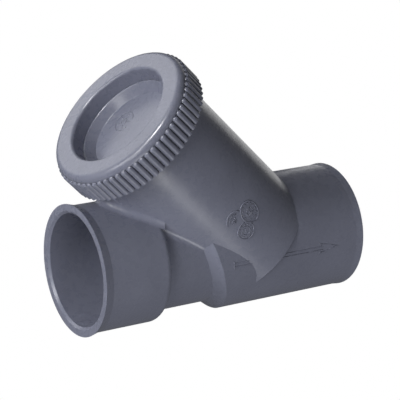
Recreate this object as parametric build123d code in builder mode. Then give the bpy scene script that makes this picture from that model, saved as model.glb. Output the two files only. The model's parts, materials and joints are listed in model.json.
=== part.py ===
"""Solvent-weld PVC swing check valve for 50 mm pipe, with a screwed inspection cap.

X runs along the pipe in the direction of flow, with 0 where the inlet pipe's end stops in its
socket. Z is up. The branch leans back over the inlet at 45 degrees, in the XZ plane.
"""

from build123d import *
from math import cos, pi, radians, sin
import os

# Pipe run, from the inlet mouth to the outlet mouth
length = 134.2
pipe_r = 25.0
socket_r = pipe_r + 0.1
socket_depth = 30.0
lead_in = 1.1
lead_in_length = 1.0
inlet_mouth_x = -socket_depth
outlet_mouth_x = inlet_mouth_x + length
outlet_stop_x = outlet_mouth_x - socket_depth

# Inlet socket and neck
socket_outer_r = 28.2
socket_lip_r = 29.3
socket_lip_length = 4.0
shoulder_x = 3.5
shoulder_r = 3.0
neck_outer_r = 24.1
neck_bore_r = 21.0

# Tilted step from the neck to the chamber, and the seat behind it
tilt = 18.0
step_start_x = 23.8
step_end_x = 28.0
seat_x = 28.5
bead_inner_r = 22.3
bead_outer_r = 23.5
bead_height = 0.8

# Chamber and outlet socket
chamber_outer_r = 28.4
chamber_bore_r = 25.2
outlet_lip_r = 28.8
outlet_lip_length = 3.4
pipe_stop_r = 22.5
pipe_stop_length = 3.0
chamber_end_x = outlet_stop_x - pipe_stop_length

# Branch: distances are measured along its axis from the middle of the run
branch_x = 58.4
branch_outer_r = 30.6
branch_bore_r = 27.4
branch_foot = -0.5
branch_foot_chamfer = 0.8
socket_blend_r = 2.5
neck_blend_r = 3.0
cavity_floor = 2.5
mouth = 90.9
thread_root_r = 29.5
thread_relief = 80.4
thread_relief_slope = 1.0
mouth_chamfer = 0.6

# Screw thread
pitch = 5.0
thread_height = 1.6
thread_foot = 2.2
thread_crest = 1.0
thread_sink = 0.2
thread_start = 83.2
thread_rise = 6.0
cap_thread_rise = 4.2

# Cap
skirt_foot = 81.5
skirt_r = 34.3
skirt_bore_r = 31.4
cap_top = 95.8
cap_ceiling = 92.65
top_round = 3.0
cap_rim_r = skirt_r + 0.3
cap_rim_slope = 1.0
dish_r = 24.2
dish_rim_round = 1.5
dish_ledge = 88.7
dish_ledge_r = 23.7
dish_ledge_inner_r = 23.0
dish_floor = 84.8
dish_floor_r = 19.8
dish_edge_round = 0.35
dish_wall = 2.7
dish_foot_round = 4.0
rib_count = 68
rib_r = 1.55
rib_tip_r = 35.7
rib_length = 11.3

# Gasket between the mouth and the cap
gasket_foot = 91.0
gasket_thickness = 1.6
gasket_inner_r = 27.6
gasket_outer_r = 31.0

# Flap: heights are measured from the seat plane, downstream
flap_r = 23.6
seal_foot = 0.9
seal_thickness = 2.0
disc_thickness = 2.5
retainer_r = 19.0
retainer_thickness = 1.5
boss_r = 6.5
boss_height = 1.5
screw_r = 2.0
screw_hole_r = 2.15
screw_head_r = 4.0
screw_head_height = 2.4
screw_tip = 12.4
washer_r = 4.5
washer_thickness = 0.8
nut_across_flats = 7.0
nut_height = 3.2
arm_half_width = 5.0
arm_thickness = 2.0
arm_sink = 0.2
disc_foot = seal_foot + seal_thickness
disc_top = disc_foot + disc_thickness
boss_top = disc_top + boss_height

# Hinge: its place on the seat plane's own axes, and its sizes
hinge_up = 28.5
hinge_out = 3.2
pin_r = 1.5
pin_half_length = 12.4
barrel_r = 3.0
barrel_half_length = 7.2
barrel_gap = 0.05
cradle_middle = 10.0
cradle_half_width = 2.5
cradle_back_x = 14.0
cradle_front_x = 26.4
cradle_foot_z = 20.0
cradle_top_z = 29.7
cradle_toe_length = 6.9
cradle_toe_height = 6.0
pin_slot_gap = 0.03
keeper_gap = 0.05
keeper_thickness = 1.5
keeper_half_width = 2.4
keeper_screw_x = 17.0
keeper_screw_r = 1.25
keeper_screw_length = 6.5
keeper_head_r = 2.3
keeper_head_height = 1.4
keeper_corner_r = 1.2
keeper_hole_gap = 0.15
keeper_slot = 0.7

# Planes that the pieces share
run_side = Plane.XZ
branch = Plane(origin=(branch_x, 0, 0), x_dir=(1, 0, 1), z_dir=(-1, 0, 1))
branch_side = Plane(origin=(branch_x, 0, 0), x_dir=(1, 0, 1), z_dir=(0, -1, 0))
branch_axis = Axis((branch_x, 0, 0), (-1, 0, 1))
downstream = Vector(cos(radians(tilt)), 0, sin(radians(tilt)))


def tilted_plane(x):
    """A plane across the run at x, tilted like the seat: local x is across, local y is up."""
    return Plane(origin=(x, 0, 0), x_dir=(0, 1, 0), z_dir=downstream)


seat = tilted_plane(seat_x)
seat_side = Plane(origin=(seat_x, 0, 0), x_dir=downstream, z_dir=(0, -1, 0))
hinge = seat.from_local_coords(Vector(0, hinge_up, hinge_out))


def thread_ridge(root_r, height, start, rise):
    """A trapezoid ridge wound round the branch axis; a negative height points it inwards."""
    base_r = root_r - thread_sink * height / abs(height)
    with BuildPart() as ridge:
        with BuildLine() as path:
            Helix(pitch=pitch, height=rise, radius=base_r)
        wound = path.line
        with BuildSketch(Plane(origin=wound @ 0, x_dir=(1, 0, 0), z_dir=wound % 0)):
            with BuildLine():
                Polyline(
                    (0, -thread_foot / 2),
                    (height, -thread_crest / 2),
                    (height, thread_crest / 2),
                    (0, thread_foot / 2),
                    close=True,
                )
            make_face()
        sweep(path=wound, is_frenet=True)
    return branch.offset(start).location * ridge.part


# --- Housing: outer shapes -------------------------------------------------------------------

with BuildPart() as inlet_tube:
    with BuildSketch(run_side):
        with BuildLine():
            Polyline(
                (branch_x, neck_outer_r),
                (branch_x, 0),
                (inlet_mouth_x, 0),
                (inlet_mouth_x, socket_lip_r),
                (inlet_mouth_x + socket_lip_length, socket_outer_r),
                (shoulder_x, socket_outer_r),
                (shoulder_x, neck_outer_r),
                close=True,
            )
        make_face()
    revolve(axis=Axis.X)
    split(bisect_by=seat, keep=Keep.BOTTOM)

with BuildPart() as chamber:
    with BuildSketch(run_side):
        with BuildLine():
            Polyline(
                (shoulder_x, 0),
                (shoulder_x, chamber_outer_r),
                (outlet_mouth_x - outlet_lip_length, chamber_outer_r),
                (outlet_mouth_x, outlet_lip_r),
                (outlet_mouth_x, 0),
                close=True,
            )
        make_face()
    revolve(axis=Axis.X)
    split(bisect_by=tilted_plane(step_end_x), keep=Keep.TOP)

with BuildPart() as step:
    for x, radius in ((step_start_x, neck_outer_r), (step_end_x, chamber_outer_r)):
        with BuildSketch(tilted_plane(x)):
            Ellipse(radius, radius / cos(radians(tilt)))
    loft(ruled=True)

with BuildPart() as branch_tube:
    with BuildSketch(branch_side):
        with BuildLine():
            Polyline(
                (0, branch_foot),
                (branch_outer_r - branch_foot_chamfer, branch_foot),
                (branch_outer_r, branch_foot + branch_foot_chamfer),
                (branch_outer_r, thread_relief - thread_relief_slope),
                (thread_root_r, thread_relief),
                (thread_root_r, mouth - mouth_chamfer),
                (thread_root_r - mouth_chamfer, mouth),
                (0, mouth),
                close=True,
            )
        make_face()
    revolve(axis=branch_axis)

with BuildPart() as shoulder_corner:
    # What rounding takes off the socket's shoulder, except inside the branch
    with BuildSketch(run_side):
        with BuildLine():
            RadiusArc(
                (shoulder_x - shoulder_r, socket_outer_r),
                (shoulder_x, socket_outer_r - shoulder_r),
                shoulder_r,
            )
            Polyline(
                (shoulder_x, socket_outer_r - shoulder_r),
                (shoulder_x, socket_outer_r),
                (shoulder_x - shoulder_r, socket_outer_r),
            )
        make_face()
    revolve(axis=Axis.X)
    with BuildSketch(branch):
        Circle(branch_outer_r)
    extrude(amount=mouth, mode=Mode.SUBTRACT)


def branch_junction(part, run_r):
    """The edges where the branch's wall meets the wall of the run that has this radius."""

    def on_both_walls(point):
        along = (point - branch.origin).dot(branch.z_dir)
        branch_r = (point - branch.origin - branch.z_dir * along).length
        off_branch = abs(branch_r - branch_outer_r)
        off_run = abs(Vector(0, point.Y, point.Z).length - run_r)
        return along > 0 and off_branch < 0.02 and off_run < 0.02

    return [e for e in part.edges() if all(on_both_walls(e @ u) for u in (0.1, 0.5, 0.9))]


with BuildPart() as outer_shape:
    add(inlet_tube.part)
    add(step.part)
    add(chamber.part)
    add(branch_tube.part)
    fillet(branch_junction(outer_shape, socket_outer_r), socket_blend_r)
    fillet(branch_junction(outer_shape, neck_outer_r), neck_blend_r)
    add(shoulder_corner.part, mode=Mode.SUBTRACT)

# --- Housing: hollows ------------------------------------------------------------------------

with BuildPart() as inlet_hollow:
    with BuildSketch(run_side):
        with BuildLine():
            Polyline(
                (inlet_mouth_x, 0),
                (inlet_mouth_x, socket_r + lead_in),
                (inlet_mouth_x + lead_in_length, socket_r),
                (0, socket_r),
                (0, neck_bore_r),
                (branch_x, neck_bore_r),
                (branch_x, 0),
                close=True,
            )
        make_face()
    revolve(axis=Axis.X)

with BuildPart() as outlet_hollow:
    with BuildSketch(run_side):
        with BuildLine():
            Polyline(
                (0, 0),
                (0, chamber_bore_r),
                (chamber_end_x, chamber_bore_r),
                (chamber_end_x, pipe_stop_r),
                (outlet_stop_x, pipe_stop_r),
                (outlet_stop_x, socket_r),
                (outlet_mouth_x - lead_in_length, socket_r),
                (outlet_mouth_x, socket_r + lead_in),
                (outlet_mouth_x, 0),
                close=True,
            )
        make_face()
    revolve(axis=Axis.X)
    split(bisect_by=seat, keep=Keep.TOP)

with BuildPart() as branch_hollow:
    with BuildSketch(branch.offset(cavity_floor)):
        Circle(branch_bore_r)
    extrude(amount=mouth - cavity_floor)
    add(inlet_tube.part, mode=Mode.SUBTRACT)

with BuildPart() as housing:
    add(outer_shape.part)
    add(branch_hollow.part, mode=Mode.SUBTRACT)
    add(outlet_hollow.part, mode=Mode.SUBTRACT)
    add(inlet_hollow.part, mode=Mode.SUBTRACT)
    # Sealing bead round the seat
    with BuildSketch(seat):
        Circle(bead_outer_r)
        Circle(bead_inner_r, mode=Mode.SUBTRACT)
    extrude(amount=bead_height)
    # Two cradles for the hinge pin, standing on the neck inside the branch
    for side in (-1, 1):
        with BuildSketch(run_side.offset(side * cradle_middle)):
            with BuildLine():
                Polyline(
                    (cradle_back_x, cradle_foot_z),
                    (cradle_front_x - cradle_toe_length, cradle_foot_z),
                    (cradle_front_x, cradle_foot_z + cradle_toe_height),
                    (cradle_front_x, cradle_top_z),
                    (cradle_back_x, cradle_top_z),
                    close=True,
                )
            make_face()
            with Locations((hinge.X, hinge.Z)):
                Circle(pin_r + pin_slot_gap, mode=Mode.SUBTRACT)
            with Locations((hinge.X, hinge.Z)):
                Rectangle(
                    2 * (pin_r + pin_slot_gap),
                    2 * barrel_r,
                    align=(Align.CENTER, Align.MIN),
                    mode=Mode.SUBTRACT,
                )
        extrude(amount=cradle_half_width, both=True)
    with Locations(
        Location((keeper_screw_x, -cradle_middle, cradle_top_z)),
        Location((keeper_screw_x, cradle_middle, cradle_top_z)),
    ):
        Hole(keeper_screw_r + pin_slot_gap, depth=keeper_screw_length)
    add(thread_ridge(thread_root_r, thread_height, thread_start, thread_rise))

# --- Cap and gasket --------------------------------------------------------------------------

with BuildPart() as ribs:
    with BuildSketch(branch.offset(skirt_foot)):
        with PolarLocations(rib_tip_r - rib_r, rib_count):
            Circle(rib_r)
    extrude(amount=rib_length)
    rib_tops = ribs.faces().filter_by(branch_axis).group_by(branch_axis)[-1]
    fillet(rib_tops.edges(), rib_r * 0.9)

with BuildPart() as screw_cap:
    dish_outer_r = dish_r + dish_wall
    dish_foot = dish_floor - dish_wall
    with BuildSketch(branch_side):
        with BuildLine():
            Polyline(
                (0, dish_foot),
                (0, dish_floor),
                (dish_floor_r, dish_floor),
                (dish_ledge_inner_r, dish_ledge),
                (dish_ledge_r, dish_ledge),
                (dish_r, cap_top - dish_rim_round),
            )
            RadiusArc(
                (dish_r, cap_top - dish_rim_round),
                (dish_r + dish_rim_round, cap_top),
                dish_rim_round,
            )
            Line((dish_r + dish_rim_round, cap_top), (cap_rim_r - top_round, cap_top))
            RadiusArc(
                (cap_rim_r - top_round, cap_top),
                (cap_rim_r, cap_top - top_round),
                top_round,
            )
            Polyline(
                (cap_rim_r, cap_top - top_round),
                (skirt_r, cap_top - top_round - cap_rim_slope),
                (skirt_r, skirt_foot),
                (skirt_bore_r, skirt_foot),
                (skirt_bore_r, cap_ceiling),
                (dish_outer_r, cap_ceiling),
                (dish_outer_r, dish_foot + dish_foot_round),
            )
            RadiusArc(
                (dish_outer_r, dish_foot + dish_foot_round),
                (dish_outer_r - dish_foot_round, dish_foot),
                dish_foot_round,
            )
            Line((dish_outer_r - dish_foot_round, dish_foot), (0, dish_foot))
        make_face()
    revolve(axis=branch_axis)
    rings = screw_cap.edges().filter_by(GeomType.CIRCLE)
    dish_radii = (dish_floor_r, dish_ledge_inner_r)
    dish_edges = [e for e in rings if round(e.radius, 3) in dish_radii]
    fillet(dish_edges, dish_edge_round)
    add(ribs.part)
    # The cap's thread runs midway between the turns of the branch's thread
    add(thread_ridge(skirt_bore_r, -thread_height, thread_start + pitch / 2, cap_thread_rise))

with BuildPart() as cap_gasket:
    with BuildSketch(branch.offset(gasket_foot)):
        Circle(gasket_outer_r)
        Circle(gasket_inner_r, mode=Mode.SUBTRACT)
    extrude(amount=gasket_thickness)
    fillet(cap_gasket.edges(), 0.3)

# --- Flap ------------------------------------------------------------------------------------

with BuildPart() as flap:
    with BuildSketch(seat.offset(disc_foot)):
        Circle(flap_r)
    extrude(amount=disc_thickness)
    rim = flap.faces().filter_by(Axis((0, 0, 0), downstream)).sort_by(Axis((0, 0, 0), downstream))
    fillet(rim[-1].edges(), 0.8)
    with BuildSketch(seat.offset(disc_top)):
        Circle(boss_r)
    extrude(amount=boss_height)
    # Arm from the boss to the hinge barrel
    with BuildSketch(seat_side):
        with BuildLine():
            Polyline(
                (disc_top - arm_sink, boss_r - 1),
                (disc_top + arm_thickness, boss_r + 1),
                (disc_top + arm_thickness, hinge_up - 2 * barrel_r),
                (hinge_out + barrel_r - 0.4, hinge_up + 0.5),
                (hinge_out, hinge_up + 0.5),
                (hinge_out, hinge_up - 4),
                (disc_top - arm_sink, hinge_up - 2 * barrel_r),
                close=True,
            )
        make_face()
    extrude(amount=arm_half_width, both=True)
    with BuildSketch(seat_side):
        with Locations((hinge_out, hinge_up)):
            Circle(barrel_r)
    extrude(amount=barrel_half_length, both=True)
    with BuildSketch(seat_side):
        with Locations((hinge_out, hinge_up)):
            Circle(pin_r + barrel_gap)
    extrude(amount=barrel_half_length + 1, both=True, mode=Mode.SUBTRACT)
    with BuildSketch(seat.offset(disc_foot - 1)):
        Circle(screw_hole_r)
    extrude(amount=boss_top - disc_foot + 2, mode=Mode.SUBTRACT)
    # Flat on the arm's root for the washer and nut
    with BuildSketch(seat.offset(boss_top)):
        Circle(washer_r + 0.5)
    extrude(amount=3, mode=Mode.SUBTRACT)

with BuildPart() as flap_seal:
    with BuildSketch(seat.offset(seal_foot)):
        Circle(flap_r)
        Circle(screw_hole_r, mode=Mode.SUBTRACT)
    extrude(amount=seal_thickness)

with BuildPart() as seal_retainer:
    with BuildSketch(seat.offset(seal_foot - retainer_thickness)):
        Circle(retainer_r)
        Circle(screw_hole_r, mode=Mode.SUBTRACT)
    extrude(amount=retainer_thickness)
    upstream_face = seal_retainer.faces().sort_by(Axis((0, 0, 0), downstream))[0]
    chamfer(upstream_face.edges().sort_by(SortBy.LENGTH)[-1], 0.6)

with BuildPart() as retainer_screw:
    head_top = seal_foot - retainer_thickness
    with BuildSketch(seat.offset(head_top)):
        Circle(screw_head_r)
    extrude(amount=-screw_head_height)
    crown = retainer_screw.faces().sort_by(Axis((0, 0, 0), downstream))[0]
    fillet(crown.edges(), 1.2)
    with BuildSketch(seat.offset(head_top - screw_head_height)):
        Rectangle(1.0, 2 * screw_head_r)
    extrude(amount=1.1, mode=Mode.SUBTRACT)
    with BuildSketch(seat.offset(head_top)):
        Circle(screw_r)
    extrude(amount=screw_tip - head_top)
    tip = retainer_screw.faces().sort_by(Axis((0, 0, 0), downstream))[-1]
    chamfer(tip.edges(), 0.4)

with BuildPart() as retainer_washer:
    with BuildSketch(seat.offset(boss_top)):
        Circle(washer_r)
        Circle(screw_hole_r, mode=Mode.SUBTRACT)
    extrude(amount=washer_thickness)

with BuildPart() as retainer_nut:
    with BuildSketch(seat.offset(boss_top + washer_thickness)):
        RegularPolygon(nut_across_flats / 2, 6, major_radius=False)
        Circle(screw_r + 0.02, mode=Mode.SUBTRACT)
    extrude(amount=nut_height)

# --- Hinge pin and its keepers ---------------------------------------------------------------

with BuildPart() as hinge_pin:
    with BuildSketch(run_side):
        with Locations((hinge.X, hinge.Z)):
            Circle(pin_r)
    extrude(amount=pin_half_length, both=True)
    chamfer(hinge_pin.edges().filter_by(GeomType.CIRCLE), 0.3)

with BuildPart() as hinge_keepers:
    keeper_length = cradle_front_x - cradle_back_x
    for side in (-1, 1):
        with BuildSketch(Plane.XY.offset(cradle_top_z + keeper_gap)):
            with Locations(((cradle_front_x + cradle_back_x) / 2, side * cradle_middle)):
                RectangleRounded(keeper_length, 2 * keeper_half_width, keeper_corner_r)
            with Locations((keeper_screw_x, side * cradle_middle)):
                Circle(keeper_screw_r + keeper_hole_gap, mode=Mode.SUBTRACT)
        extrude(amount=keeper_thickness)

with BuildPart() as keeper_screws:
    head_z = cradle_top_z + keeper_gap + keeper_thickness
    for side in (-1, 1):
        with BuildSketch(Plane.XY.offset(head_z)):
            with Locations((keeper_screw_x, side * cradle_middle)):
                Circle(keeper_head_r)
        extrude(amount=keeper_head_height)
        with BuildSketch(Plane.XY.offset(head_z + keeper_head_height)):
            with Locations((keeper_screw_x, side * cradle_middle)):
                Rectangle(2 * keeper_head_r, keeper_slot)
        extrude(amount=-keeper_slot, mode=Mode.SUBTRACT)
        with BuildSketch(Plane.XY.offset(head_z)):
            with Locations((keeper_screw_x, side * cradle_middle)):
                Circle(keeper_screw_r)
        extrude(amount=-(keeper_screw_length - 0.5 + keeper_thickness))

# --- Write one STEP file for each piece ------------------------------------------------------

pieces = {
    "housing": housing,
    "screw_cap": screw_cap,
    "cap_gasket": cap_gasket,
    "flap": flap,
    "flap_seal": flap_seal,
    "seal_retainer": seal_retainer,
    "retainer_screw": retainer_screw,
    "retainer_washer": retainer_washer,
    "retainer_nut": retainer_nut,
    "hinge_pin": hinge_pin,
    "hinge_keepers": hinge_keepers,
    "keeper_screws": keeper_screws,
}

os.makedirs("parts", exist_ok=True)
for name, piece in pieces.items():
    piece.part.label = name
    export_step(piece.part, f"parts/{name}.step")
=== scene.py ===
"""Looks for the PVC swing check valve: materials, moulded marks, floor, lights and camera."""

import json
import math

import bpy
import bmesh
from mathutils import Matrix, Vector


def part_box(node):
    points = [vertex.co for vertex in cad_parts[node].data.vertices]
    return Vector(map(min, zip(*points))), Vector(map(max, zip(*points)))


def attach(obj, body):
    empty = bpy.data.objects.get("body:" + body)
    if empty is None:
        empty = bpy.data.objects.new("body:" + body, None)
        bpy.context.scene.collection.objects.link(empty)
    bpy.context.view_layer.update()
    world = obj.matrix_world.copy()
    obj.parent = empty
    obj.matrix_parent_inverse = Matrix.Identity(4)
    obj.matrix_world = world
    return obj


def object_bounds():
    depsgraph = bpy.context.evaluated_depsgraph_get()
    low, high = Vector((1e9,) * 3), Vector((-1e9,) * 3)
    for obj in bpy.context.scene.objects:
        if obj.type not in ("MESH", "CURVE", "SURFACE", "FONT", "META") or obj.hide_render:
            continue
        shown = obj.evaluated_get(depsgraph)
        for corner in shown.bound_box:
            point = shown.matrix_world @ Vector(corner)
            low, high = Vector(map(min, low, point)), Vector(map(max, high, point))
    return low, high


MM = 0.001
WHITE = (1.0, 1.0, 1.0, 1.0)

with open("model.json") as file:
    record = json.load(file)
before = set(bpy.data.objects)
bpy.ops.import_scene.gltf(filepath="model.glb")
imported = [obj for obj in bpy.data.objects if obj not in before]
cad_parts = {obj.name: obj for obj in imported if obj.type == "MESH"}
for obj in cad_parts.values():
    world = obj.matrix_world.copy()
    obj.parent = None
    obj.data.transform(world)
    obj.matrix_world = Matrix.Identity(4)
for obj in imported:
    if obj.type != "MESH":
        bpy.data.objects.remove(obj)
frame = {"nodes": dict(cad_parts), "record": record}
cad_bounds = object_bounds()


# --- Node helpers ----------------------------------------------------------------------------


def new_material(name):
    """A node material that holds only its output node."""
    material = bpy.data.materials.new(name)
    material.use_nodes = True
    tree = material.node_tree
    tree.nodes.clear()
    output = tree.nodes.new("ShaderNodeOutputMaterial")
    return material, tree, output


def fill(tree, socket, value):
    """Links a socket to an input, or sets the input to a plain value."""
    if isinstance(value, bpy.types.NodeSocket):
        tree.links.new(value, socket)
    else:
        socket.default_value = value


def add_node(tree, kind, **inputs):
    """Adds a node and fills its inputs, with an underscore for each space in their names."""
    node = tree.nodes.new(kind)
    for name, value in inputs.items():
        fill(tree, node.inputs[name.replace("_", " ")], value)
    return node


def noise(tree, coords, per_metre, detail=3.0):
    """A noise factor with about so many blotches per metre."""
    node = add_node(tree, "ShaderNodeTexNoise", Vector=coords, Scale=per_metre, Detail=detail)
    return node.outputs["Fac"]


def remap(tree, value, low, high, from_low=0.3, from_high=0.7):
    """Maps a factor onto a range."""
    node = add_node(
        tree,
        "ShaderNodeMapRange",
        Value=value,
        From_Min=from_low,
        From_Max=from_high,
        To_Min=low,
        To_Max=high,
    )
    return node.outputs["Result"]


def stretched(tree, coords, scale):
    """Coordinates squeezed by a scale on each axis, for streaks and drawn lines."""
    return add_node(tree, "ShaderNodeMapping", Vector=coords, Scale=scale).outputs["Vector"]


def mix_colours(tree, factor, first, second):
    """Mixes two colours, each a socket or a value, by a factor socket."""
    node = tree.nodes.new("ShaderNodeMix")
    node.data_type = "RGBA"
    tree.links.new(factor, node.inputs["Factor"])
    colour_inputs = [socket for socket in node.inputs if socket.type == "RGBA"]
    fill(tree, colour_inputs[0], first)
    fill(tree, colour_inputs[1], second)
    return next(socket for socket in node.outputs if socket.type == "RGBA")


def add_bump(tree, height, strength, distance, under=None):
    """Bump from a height socket, on top of another bump's normal if one is given."""
    node = add_node(tree, "ShaderNodeBump", Height=height, Strength=strength, Distance=distance)
    if under:
        tree.links.new(under, node.inputs["Normal"])
    return node.outputs["Normal"]


def add_surface(tree, output, **inputs):
    """Joins a principled shader with these inputs to the material's output."""
    shader = add_node(tree, "ShaderNodeBsdfPrincipled", **inputs)
    tree.links.new(shader.outputs["BSDF"], output.inputs["Surface"])


# --- Materials -------------------------------------------------------------------------------

PVC_DARK = (0.168, 0.177, 0.236, 1.0)
PVC_LIGHT = (0.189, 0.199, 0.263, 1.0)
PVC_SPECK = (0.26, 0.27, 0.32, 1.0)
# Painted shade for the PVC: the near-black colour put into recesses, corners and rib grooves, and
# how far and with how many samples the occlusion looks.
PVC_PAINTED_SHADE = (0.07, 0.074, 0.096, 1.0)
PAINTED_SHADE_REACH = 2.2 * MM
PAINTED_SHADE_SAMPLES = 8

RUBBER_DARK = (0.012, 0.012, 0.013, 1.0)
RUBBER_BLOOM = (0.03, 0.03, 0.032, 1.0)

STEEL_DARK = (0.52, 0.52, 0.50, 1.0)
STEEL_LIGHT = (0.64, 0.63, 0.61, 1.0)


def pvc_material():
    """Moulded grey PVC: faint clouding, specks, painted shade in recesses and corners, a fine skin
    and light scuffs.
    """
    material, tree, output = new_material("pvc_grey")
    coords = add_node(tree, "ShaderNodeTexCoord").outputs["Object"]

    clouds = noise(tree, coords, per_metre=45.0, detail=2.0)
    specks = noise(tree, coords, per_metre=1400.0, detail=1.0)
    base = mix_colours(tree, remap(tree, clouds, 0.0, 1.0), PVC_DARK, PVC_LIGHT)
    base = mix_colours(tree, remap(tree, specks, 0.0, 0.16), base, PVC_SPECK)
    # Painted shade: ambient occlusion darkens the colour towards a near-black grey in recesses,
    # corners and between the ribs.
    shade_occlusion = add_node(tree, "ShaderNodeAmbientOcclusion", Distance=PAINTED_SHADE_REACH)
    shade_occlusion.samples = PAINTED_SHADE_SAMPLES
    painted_shade_mix = remap(tree, shade_occlusion.outputs["AO"], 0.0, 1.0, from_low=0.2, from_high=0.8)
    base = mix_colours(tree, painted_shade_mix, PVC_PAINTED_SHADE, base)

    patches = noise(tree, coords, per_metre=260.0)
    streaks = stretched(tree, coords, (1.0, 1.0, 0.06))
    scuffs = noise(tree, streaks, per_metre=1500.0)
    worn = remap(tree, scuffs, 0.0, 0.05, from_low=0.62, from_high=0.72)
    roughness = tree.nodes.new("ShaderNodeMath")
    roughness.operation = "ADD"
    tree.links.new(remap(tree, patches, 0.23, 0.33), roughness.inputs[0])
    tree.links.new(worn, roughness.inputs[1])

    skin = noise(tree, coords, per_metre=900.0, detail=2.0)
    waves = noise(tree, coords, per_metre=120.0, detail=1.0)
    fine = add_bump(tree, skin, strength=0.06, distance=0.2 * MM)
    broad = add_bump(tree, waves, strength=0.12, distance=0.6 * MM, under=fine)

    add_surface(
        tree,
        output,
        Base_Color=base,
        Roughness=roughness.outputs["Value"],
        Normal=broad,
        Specular_IOR_Level=0.4,
    )
    return material


def rubber_material():
    """Black rubber with a dull bloom."""
    material, tree, output = new_material("rubber_black")
    coords = add_node(tree, "ShaderNodeTexCoord").outputs["Object"]
    bloom = noise(tree, coords, per_metre=160.0)
    grain = noise(tree, coords, per_metre=2200.0)
    add_surface(
        tree,
        output,
        Base_Color=mix_colours(tree, remap(tree, bloom, 0.0, 1.0), RUBBER_DARK, RUBBER_BLOOM),
        Roughness=remap(tree, bloom, 0.55, 0.8),
        Normal=add_bump(tree, grain, strength=0.15, distance=0.1 * MM),
    )
    return material


def steel_material():
    """Stainless steel with drawn lines along Y and faint blotches."""
    material, tree, output = new_material("stainless")
    coords = add_node(tree, "ShaderNodeTexCoord").outputs["Object"]
    drawn = stretched(tree, coords, (1.0, 0.05, 1.0))
    lines = noise(tree, drawn, per_metre=3500.0, detail=2.0)
    blotches = noise(tree, coords, per_metre=300.0)
    add_surface(
        tree,
        output,
        Base_Color=mix_colours(tree, remap(tree, blotches, 0.0, 1.0), STEEL_DARK, STEEL_LIGHT),
        Roughness=remap(tree, lines, 0.24, 0.42),
        Normal=add_bump(tree, lines, strength=0.1, distance=0.05 * MM),
        Metallic=1.0,
    )
    return material


materials = {
    "pvc_grey": pvc_material(),
    "rubber_black": rubber_material(),
    "stainless": steel_material(),
}

for subpart in frame["record"]["subparts"]:
    node = frame["nodes"][subpart["node"]]
    node.data.materials.clear()
    node.data.materials.append(materials[subpart["material_slot"]])


# --- Moulded marks ---------------------------------------------------------------------------

# Where the marks sit, as sizes of the CAD part: the run's and the branch's outer radius, where
# the branch's axis meets the run's, and how far along it the floor of the cap's dish is.
RUN_RADIUS = 28.4 * MM
BRANCH_RADIUS = 30.6 * MM
BRANCH_FOOT = Vector((58.4 * MM, 0.0, 0.0))
DISH_FLOOR = 84.8 * MM
LEAN = math.sqrt(0.5)
BRANCH_OUT = Vector((-LEAN, 0.0, LEAN))
BRANCH_UP = Vector((LEAN, 0.0, LEAN))
FRONT = Vector((0.0, -1.0, 0.0))

MARK_SINK = 0.25 * MM
POINT_STEP = 0.8 * MM
ELLIPSE_STEPS = 40
SHORTEST_ARC_STEPS = 4
MITRE_LIMIT = 0.45

# The section of a raised line, as shares of its width and height; a share of -1 is its foot,
# which is sunk in the face below.
RIDGE_SECTION = [
    (-0.5, -1.0),
    (-0.42, 0.45),
    (-0.2, 0.95),
    (0.2, 0.95),
    (0.42, 0.45),
    (0.5, -1.0),
]


def on_run(along, up, proud):
    """A point on the front of the outlet run; up is the distance round it from mid height."""
    turn = up / RUN_RADIUS
    radius = RUN_RADIUS + proud
    return Vector((along, -radius * math.cos(turn), radius * math.sin(turn)))


def on_branch(along, across, proud):
    """A point on the front of the branch; across is the distance round it, upwards."""
    turn = across / BRANCH_RADIUS
    out = math.sin(turn) * BRANCH_UP + math.cos(turn) * FRONT
    return BRANCH_FOOT + along * BRANCH_OUT + (BRANCH_RADIUS + proud) * out


def on_dish(towards_front, up, proud):
    """A point on the floor of the cap's dish, from the cap's axis."""
    level = BRANCH_FOOT + (DISH_FLOOR + proud) * BRANCH_OUT
    return level + up * BRANCH_UP + towards_front * FRONT


def densify(points, closed):
    """Adds points along the runs of a polyline so that it can follow a curved face."""
    dense = []
    pairs = zip(points, points[1:] + points[:1]) if closed else zip(points, points[1:])
    for first, second in pairs:
        count = max(1, math.ceil(math.dist(first, second) / POINT_STEP))
        for index in range(count):
            share = index / count
            dense.append(tuple(a + (b - a) * share for a, b in zip(first, second)))
    if not closed:
        dense.append(tuple(points[-1]))
    return dense


def path_sides(points, closed):
    """The mitred sideways direction at each point of a flat polyline."""
    sides = []
    count = len(points)
    for index in range(count):
        before = points[index - 1] if closed or index else points[index]
        after = points[(index + 1) % count] if closed or index < count - 1 else points[index]
        here = points[index]
        first = Vector((here[0] - before[0], here[1] - before[1]))
        second = Vector((after[0] - here[0], after[1] - here[1]))
        first = first if first.length else second
        second = second if second.length else first
        first.normalize()
        second.normalize()
        normals = [Vector((-way.y, way.x)) for way in (first, second)]
        between = normals[0] + normals[1]
        between.normalize()
        sides.append(between / max(MITRE_LIMIT, between.dot(normals[0])))
    return sides


def add_ridge(mesh, place, points, closed, width, height):
    """Adds one raised round-topped line along a polyline to a bmesh."""
    points = densify(points, closed)
    rings = []
    for (along, across), side in zip(points, path_sides(points, closed)):
        ring = []
        for offset, level in RIDGE_SECTION:
            proud = height * level if level > 0 else -MARK_SINK
            spot = (along + side.x * width * offset, across + side.y * width * offset)
            ring.append(mesh.verts.new(place(spot[0], spot[1], proud)))
        rings.append(ring)
    count = len(RIDGE_SECTION)
    last = len(rings) if closed else len(rings) - 1
    for index in range(last):
        ring, following = rings[index], rings[(index + 1) % len(rings)]
        for corner in range(count):
            after = (corner + 1) % count
            mesh.faces.new((ring[corner], ring[after], following[after], following[corner]))
    if not closed:
        mesh.faces.new(rings[0][::-1])
        mesh.faces.new(rings[-1])


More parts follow.
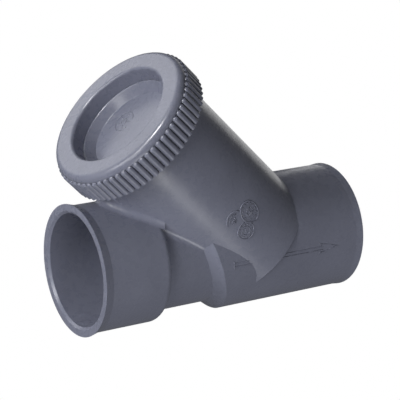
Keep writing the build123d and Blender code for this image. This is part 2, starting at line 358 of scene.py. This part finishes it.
def add_mark(name, body, place, lines):
    """Makes one piece on a body from raised lines, which place puts on a face."""
    mesh = bmesh.new()
    for points, closed, width, height in lines:
        add_ridge(mesh, place, points, closed, width, height)
    bmesh.ops.recalc_face_normals(mesh, faces=mesh.faces)
    data = bpy.data.meshes.new(name)
    mesh.to_mesh(data)
    mesh.free()
    for polygon in data.polygons:
        polygon.use_smooth = True
    piece = bpy.data.objects.new(name, data)
    bpy.context.scene.collection.objects.link(piece)
    data.materials.append(materials["pvc_grey"])
    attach(piece, body)


def raised(points, width, height, closed=False):
    """One raised line of a mark, given in millimetres."""
    return [(x * MM, y * MM) for x, y in points], closed, width * MM, height * MM


def ellipse(centre, radius_along, radius_across, first=0.0, last=360.0):
    """Points round an ellipse, or round part of it between two angles in degrees."""
    whole = last - first >= 360.0
    arc_steps = max(SHORTEST_ARC_STEPS, round(ELLIPSE_STEPS * (last - first) / 360.0))
    steps = ELLIPSE_STEPS if whole else arc_steps
    points = []
    for index in range(steps if whole else steps + 1):
        angle = math.radians(first + (last - first) * index / steps)
        x = centre[0] + radius_along * math.cos(angle)
        y = centre[1] + radius_across * math.sin(angle)
        points.append((x, y))
    return points


def spoke(centre, inner, outer, squeeze, degrees):
    """A short radial line; squeeze narrows the second direction."""
    angle = math.radians(degrees)
    way = (math.cos(angle), squeeze * math.sin(angle))
    return [
        (centre[0] + inner * way[0], centre[1] + inner * way[1]),
        (centre[0] + outer * way[0], centre[1] + outer * way[1]),
    ]


def spokes(centre, inner, outer, squeeze, count, first):
    """Evenly spaced spokes, the first of them at an angle in degrees."""
    angles = [first + 360.0 * index / count for index in range(count)]
    return [spoke(centre, inner, outer, squeeze, degrees) for degrees in angles]


def flow_arrow():
    """The outline of a long thin arrow pointing from the inlet to the outlet, and a tail bar."""
    tail, neck, notch, tip = 34.0, 81.5, 79.8, 90.0
    shaft, barb, tail_bar = 0.8, 2.4, 1.9
    outline = [
        (tail, -shaft),
        (neck, -shaft),
        (notch, -barb),
        (tip, 0.0),
        (notch, barb),
        (neck, shaft),
        (tail, shaft),
    ]
    lines = [
        raised(outline, width=0.45, height=0.22, closed=True),
        raised([(tail, -tail_bar), (tail, tail_bar)], width=0.8, height=0.32),
    ]
    add_mark("flow_arrow", "valve_body", on_run, lines)


def dial_roundel():
    """A small round mould dial: two rings, ticks between them and a pointer."""
    centre = (25.4, -2.9)
    rim_r, hub_r = 4.0, 2.0
    tick_inner, tick_outer, tick_count = 2.7, 3.3, 12
    pointer = [(24.5, -3.3), (26.6, -2.4)]
    lines = [
        raised(ellipse(centre, rim_r, rim_r), width=0.6, height=0.35, closed=True),
        raised(ellipse(centre, hub_r, hub_r), width=0.5, height=0.3, closed=True),
        raised(pointer, width=0.6, height=0.3),
    ]
    for tick in spokes(centre, tick_inner, tick_outer, squeeze=1.0, count=tick_count, first=0.0):
        lines.append(raised(tick, width=0.4, height=0.25))
    add_mark("roundel_dial", "valve_body", on_branch, lines)


def large_roundel():
    """A larger oval badge: a rim, a ring of ticks and a chequer of bars."""
    centre = (30.2, 4.3)
    half_long, half_wide = 5.4, 4.4
    tick_inner, tick_outer, tick_count = 3.6, 4.4, 14
    long_bars = ((-1.7, 1.3), (0.0, 2.3), (1.7, 1.3))
    cross_bars, cross_half = (-1.2, 1.2), 1.5
    rim = ellipse(centre, half_long, half_wide)
    lines = [raised(rim, width=0.6, height=0.35, closed=True)]
    for tick in spokes(centre, tick_inner, tick_outer, squeeze=0.88, count=tick_count, first=10.0):
        lines.append(raised(tick, width=0.55, height=0.32))
    for across, half in long_bars:
        ends = [centre[0] - half, centre[0] + half]
        bar = [(along, centre[1] + across) for along in ends]
        lines.append(raised(bar, width=0.6, height=0.32))
    for along in cross_bars:
        ends = [centre[1] - cross_half, centre[1] + cross_half]
        bar = [(centre[0] + along, across) for across in ends]
        lines.append(raised(bar, width=0.5, height=0.26))
    add_mark("roundel_large", "valve_body", on_branch, lines)


def crescent_roundel():
    """A badge that the other two cover in part, so that only one side of it is there."""
    centre = (32.4, -2.8)
    outer_arc = ellipse(centre, radius_along=5.2, radius_across=4.6, first=-70.0, last=55.0)
    inner_arc = ellipse(centre, radius_along=3.7, radius_across=3.2, first=-60.0, last=40.0)
    lines = [
        raised(outer_arc, width=0.7, height=0.4),
        raised(inner_arc, width=0.45, height=0.3),
    ]
    for degrees in (-75.0, -45.0, -15.0, 15.0):
        tick = spoke(centre, inner=0.6, outer=2.6, squeeze=0.9, degrees=degrees)
        lines.append(raised(tick, width=0.5, height=0.28))
    add_mark("roundel_part", "valve_body", on_branch, lines)


def dish_mark():
    """A faint round badge on the dish's floor, off its middle."""
    centre = (-9.0, 1.6)
    rim_r, hub_r = 5.0, 1.5
    rim = ellipse(centre, rim_r, rim_r, first=25.0, last=335.0)
    hub = ellipse(centre, hub_r, hub_r)
    lines = [
        raised(rim, width=0.5, height=0.16),
        raised(hub, width=0.45, height=0.14, closed=True),
    ]
    for ray in spokes(centre, inner=2.2, outer=4.0, squeeze=1.0, count=5, first=15.0):
        lines.append(raised(ray, width=0.5, height=0.14))
    add_mark("dish_mark", "cap_body", on_dish, lines)


flow_arrow()
dial_roundel()
large_roundel()
crescent_roundel()
dish_mark()


# --- Stage -----------------------------------------------------------------------------------

FLOOR_HALF = 6.0
FLOOR_GAP = 0.5 * MM
MIDDLE = (Vector(cad_bounds[0]) + Vector(cad_bounds[1])) / 2


def make_floor():
    """A large white floor just under the lowest rim; it neither shades nor lights the object."""
    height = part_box("housing")[0][2] - FLOOR_GAP
    low, high = -FLOOR_HALF, FLOOR_HALF
    corners = [(low, low), (high, low), (high, high), (low, high)]
    mesh = bpy.data.meshes.new("floor")
    mesh.from_pydata([(x, y, height) for x, y in corners], [], [(0, 1, 2, 3)])
    floor = bpy.data.objects.new("floor", mesh)
    bpy.context.scene.collection.objects.link(floor)
    material, tree, output = new_material("floor_white")
    white = add_node(tree, "ShaderNodeEmission", Color=WHITE, Strength=1.0)
    tree.links.new(white.outputs["Emission"], output.inputs["Surface"])
    mesh.materials.append(material)
    floor.visible_diffuse = False
    floor.visible_glossy = False
    floor.visible_shadow = False


def make_world(strength):
    """Even studio fill for the object, behind a backdrop that the camera sees as white."""
    world = bpy.data.worlds.new("studio")
    bpy.context.scene.world = world
    world.use_nodes = True
    tree = world.node_tree
    tree.nodes.clear()
    output = tree.nodes.new("ShaderNodeOutputWorld")
    fill_light = add_node(tree, "ShaderNodeBackground", Color=WHITE, Strength=strength)
    backdrop = add_node(tree, "ShaderNodeBackground", Color=WHITE, Strength=1.0)
    path = tree.nodes.new("ShaderNodeLightPath")
    mix = tree.nodes.new("ShaderNodeMixShader")
    tree.links.new(path.outputs["Is Camera Ray"], mix.inputs["Fac"])
    tree.links.new(fill_light.outputs["Background"], mix.inputs[1])
    tree.links.new(backdrop.outputs["Background"], mix.inputs[2])
    tree.links.new(mix.outputs["Shader"], output.inputs["Surface"])


def away_from_object(azimuth, elevation):
    """The direction out to a light or camera; azimuth 0 is the -Y side and 90 the +X side."""
    turn, rise = math.radians(azimuth), math.radians(elevation)
    level = math.cos(rise)
    return Vector((math.sin(turn) * level, -math.cos(turn) * level, math.sin(rise)))


def add_softbox(name, azimuth, elevation, size, power, distance=0.9):
    """A square softbox that faces the object."""
    away = away_from_object(azimuth, elevation)
    data = bpy.data.lights.new(name, "AREA")
    data.shape = "SQUARE"
    data.size = size
    data.energy = power
    light = bpy.data.objects.new(name, data)
    bpy.context.scene.collection.objects.link(light)
    light.location = MIDDLE + away * distance
    light.rotation_euler = away.to_track_quat("Z", "Y").to_euler()
    light.visible_camera = False
    return light


make_floor()
make_world(strength=0.11)
add_softbox("key_left", azimuth=285.0, elevation=30.0, size=0.3, power=2.7)
add_softbox("key_low", azimuth=302.0, elevation=12.0, size=0.3, power=1.7)
add_softbox("side_left", azimuth=270.0, elevation=16.0, size=0.3, power=2.7)
add_softbox("front_low", azimuth=350.0, elevation=-36.0, size=0.4, power=2.8)
add_softbox("back_left_high", azimuth=202.0, elevation=36.0, size=1.0, power=6.0, distance=1.3)
add_softbox("back_right", azimuth=128.0, elevation=6.0, size=0.5, power=0.75)

# The glint shines on gloss only, for the highlight on the cap's rim.
glint = add_softbox("glint", azimuth=278.0, elevation=53.0, size=0.12, power=9.0)
glint.visible_diffuse = False


# --- Camera ----------------------------------------------------------------------------------

AZIMUTH = -32.02
ELEVATION = 17.41
ROLL = math.radians(0.82)
CAMERA_DISTANCE = 0.7662
LENS_MM = 154.05
SENSOR_MM = 36.0
TARGET = Vector((0.03358, 0.0, 0.02236))

back = away_from_object(AZIMUTH, ELEVATION)
right = Vector((math.cos(math.radians(AZIMUTH)), math.sin(math.radians(AZIMUTH)), 0.0))
up = back.cross(right)
right_rolled = math.cos(ROLL) * right + math.sin(ROLL) * up
up_rolled = math.cos(ROLL) * up - math.sin(ROLL) * right
facing = Matrix((right_rolled, up_rolled, back)).transposed().to_4x4()

camera_data = bpy.data.cameras.new("camera")
camera_data.lens = LENS_MM
camera_data.sensor_width = SENSOR_MM
camera = bpy.data.objects.new("camera", camera_data)
bpy.context.scene.collection.objects.link(camera)
camera.matrix_world = Matrix.Translation(TARGET + CAMERA_DISTANCE * back) @ facing
bpy.context.scene.camera = camera
bpy.context.scene.view_settings.view_transform = "Standard"
